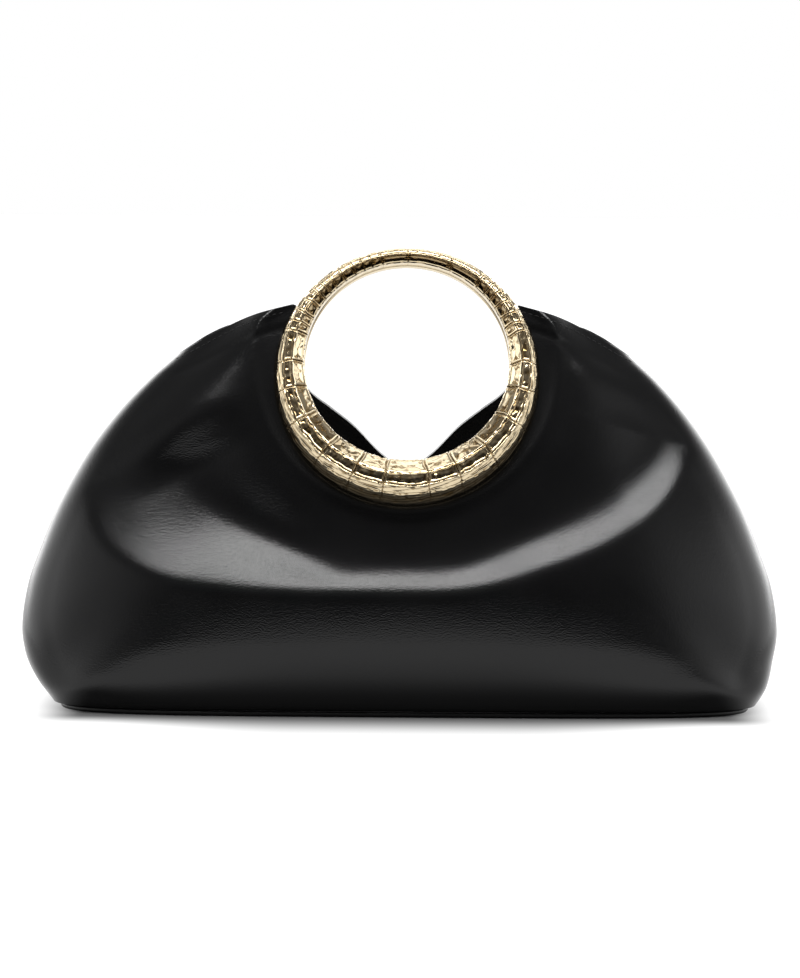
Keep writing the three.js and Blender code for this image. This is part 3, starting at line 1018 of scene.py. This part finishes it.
def floor_feed(socket, source):
    """Gives a socket a number or another socket's value."""
    if isinstance(source, float):
        socket.default_value = source
    else:
        floor_tree.links.new(source, socket)


def floor_node(operation, first, second):
    """A sum on the floor's place, of two sockets or of a socket and a number."""
    node = link_node(floor_tree, "ShaderNodeMath", operation=operation)
    floor_feed(node.inputs[0], first)
    floor_feed(node.inputs[1], second)
    return node.outputs["Value"]


def floor_shade(source, near, far):
    """One up to a distance and nothing beyond another."""
    node = link_node(floor_tree, "ShaderNodeMapRange", interpolation_type="SMOOTHSTEP")
    floor_feed(node.inputs["From Min"], near)
    floor_feed(node.inputs["From Max"], far)
    node.inputs["To Min"].default_value = 1.0
    node.inputs["To Max"].default_value = 0.0
    floor_feed(node.inputs["Value"], source)
    return node.outputs["Result"]


# The floor glows, up to a painted shadow round the base of the bag that narrows towards the ends.
floor_place = link_node(floor_tree, "ShaderNodeTexCoord")
floor_axes = link_node(floor_tree, "ShaderNodeSeparateXYZ")
floor_tree.links.new(floor_place.outputs["Object"], floor_axes.inputs["Vector"])
from_middle = floor_node("ABSOLUTE", floor_axes.outputs["X"], 0.0)
from_line = floor_node("ABSOLUTE", floor_axes.outputs["Y"], 0.0)
taper = floor_shade(from_middle, *painted_shadow_taper)
reach = floor_node("ADD", floor_node("MULTIPLY", taper, painted_shadow_middle), painted_shadow_width[1])
painted_shadow_beside = floor_shade(from_middle, *painted_shadow_length)
# Painted shadow in front of and behind the base, cut out of the floor's glow.
before = floor_shade(from_line, painted_shadow_width[0], reach)
painted_floor_shadow = floor_node("MULTIPLY", painted_shadow_beside, before)
glow_beyond_painted_shadow = floor_node("ADD", floor_node("MULTIPLY", painted_floor_shadow, -1.0), 1.0)
floor_tree.links.new(glow_beyond_painted_shadow, floor_surface.inputs["Emission Strength"])
floor_mesh.materials.append(floor_paint)
floor = bpy.data.objects.new("floor", floor_mesh)
bpy.context.scene.collection.objects.link(floor)


def soft_light(name, place, target, size, power):
    """A softbox turned towards a point."""
    lamp = bpy.data.lights.new(name, "AREA")
    lamp.shape = "RECTANGLE"
    lamp.size, lamp.size_y = size
    lamp.energy = power
    box = bpy.data.objects.new(name, lamp)
    box.location = place
    box.rotation_euler = (Vector(target) - Vector(place)).to_track_quat("-Z", "Y").to_euler()
    bpy.context.scene.collection.objects.link(box)


soft_light("overhead", (0.05, -0.62, 1.25), (0, -0.05, 0.07), (1.42, 0.34), 21)
soft_light("overhead_back", (0, 0.45, 1.6), (0, 0, 0.08), (1.3, 1.5), 9)
soft_light("fill_right", (1.2, -0.8, 0.6), (0, 0, 0.08), (0.6, 0.8), 0.3)

# The room is dark towards the camera, light behind the bag and low down at its sides, and dim
# higher up. The camera itself sees plain white.
side_light = 2.2
side_light_high = 0.04
dim_low = 0.03
dim_high = 0.2
back_light = 1.0
world = bpy.data.worlds.new("studio")
world.use_nodes = True
bpy.context.scene.world = world
sky = world.node_tree
sky_light = sky.nodes["Background"]
direction = link_node(sky, "ShaderNodeTexCoord")
parts = link_node(sky, "ShaderNodeSeparateXYZ")
sky.links.new(direction.outputs["Generated"], parts.inputs["Vector"])


def eased(source, low, high, start, end):
    """A value that passes softly from start to end as its source goes from low to high."""
    node = link_node(sky, "ShaderNodeMapRange", interpolation_type="SMOOTHSTEP")
    node.inputs["From Min"].default_value = low
    node.inputs["From Max"].default_value = high
    node.inputs["To Min"].default_value = start
    node.inputs["To Max"].default_value = end
    sky.links.new(source, node.inputs["Value"])
    return node.outputs["Result"]


room = link_node(sky, "ShaderNodeMath", operation="MULTIPLY_ADD")
sky.links.new(eased(parts.outputs["Y"], -1.0, 0.2, 0.0, side_light), room.inputs[0])
sky.links.new(eased(parts.outputs["Z"], 0.33, 0.58, 1.0, side_light_high), room.inputs[1])
dim_and_back = link_node(sky, "ShaderNodeMath", operation="ADD")
sky.links.new(eased(parts.outputs["Z"], 0.3, 0.7, dim_low, dim_high), dim_and_back.inputs[0])
sky.links.new(eased(parts.outputs["Y"], 0.45, 0.85, 0.0, back_light), dim_and_back.inputs[1])
sky.links.new(dim_and_back.outputs["Value"], room.inputs[2])
seen = link_node(sky, "ShaderNodeLightPath")
strength = link_node(sky, "ShaderNodeMix", data_type="FLOAT")
strength.inputs["B"].default_value = 1.0
sky.links.new(seen.outputs["Is Camera Ray"], strength.inputs["Factor"])
sky.links.new(room.outputs["Value"], strength.inputs["A"])
sky_light.inputs["Color"].default_value = (1.0, 1.0, 1.0, 1.0)
sky.links.new(strength.outputs["Result"], sky_light.inputs["Strength"])
bpy.context.scene.view_settings.view_transform = "Standard"

camera_data = bpy.data.cameras.new("camera")
camera_data.lens = 148.2
camera_data.sensor_width = 36.0
camera = bpy.data.objects.new("camera", camera_data)
camera_place = Vector((0.0, -1.6, 0.219))
camera_target = Vector((-0.0024, 0.0, 0.0854))
camera_roll = Matrix.Rotation(math.radians(0.4), 4, "Z")
camera.location = camera_place
facing_target = (camera_target - camera_place).to_track_quat("-Z", "Y").to_matrix().to_4x4()
camera.rotation_euler = (facing_target @ camera_roll).to_euler()
bpy.context.scene.collection.objects.link(camera)
bpy.context.scene.camera = camera
